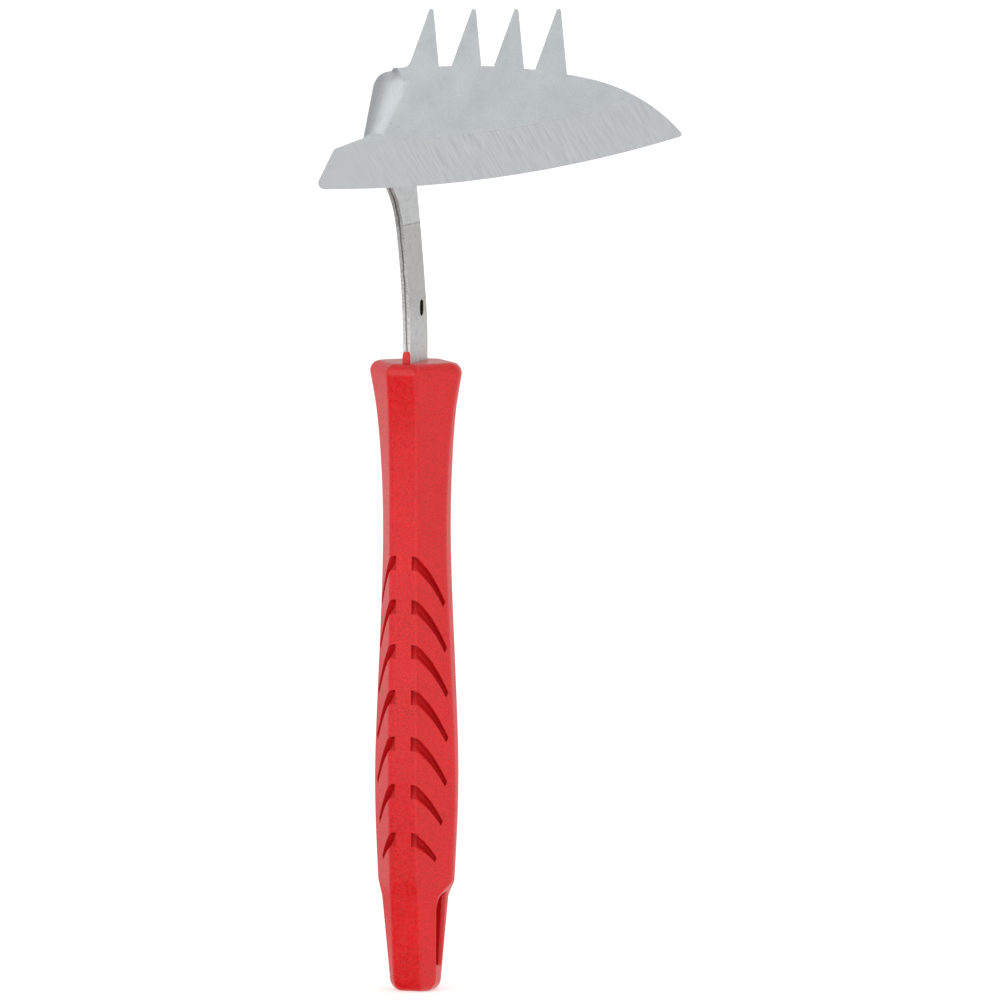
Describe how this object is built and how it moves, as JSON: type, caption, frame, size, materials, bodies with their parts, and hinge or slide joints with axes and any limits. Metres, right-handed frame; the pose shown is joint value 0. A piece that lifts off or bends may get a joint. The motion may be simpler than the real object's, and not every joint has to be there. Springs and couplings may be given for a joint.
{
  "type": "hive tool",
  "caption": "Hive tool: toothed, ground steel scraper blade on a bent sheet neck, set in a grooved plastic handle with a hanging slot.",
  "frame": {"origin": "on the handle's centre line, halfway up the hanging slot near the butt", "axes": "+Z along the handle towards the blade, -Y to the front where the blade stands, +X the side that the blade reaches to"},
  "size_m": [0.1076, 0.065, 0.3119],
  "materials": {
    "sheet_steel": "satin, dull",
    "red_plastic": "fine matte moulded grain"
  },
  "bodies": {
    "root": {"steel_head": "sheet_steel", "handle": "red_plastic"}
  },
  "joints": []
}
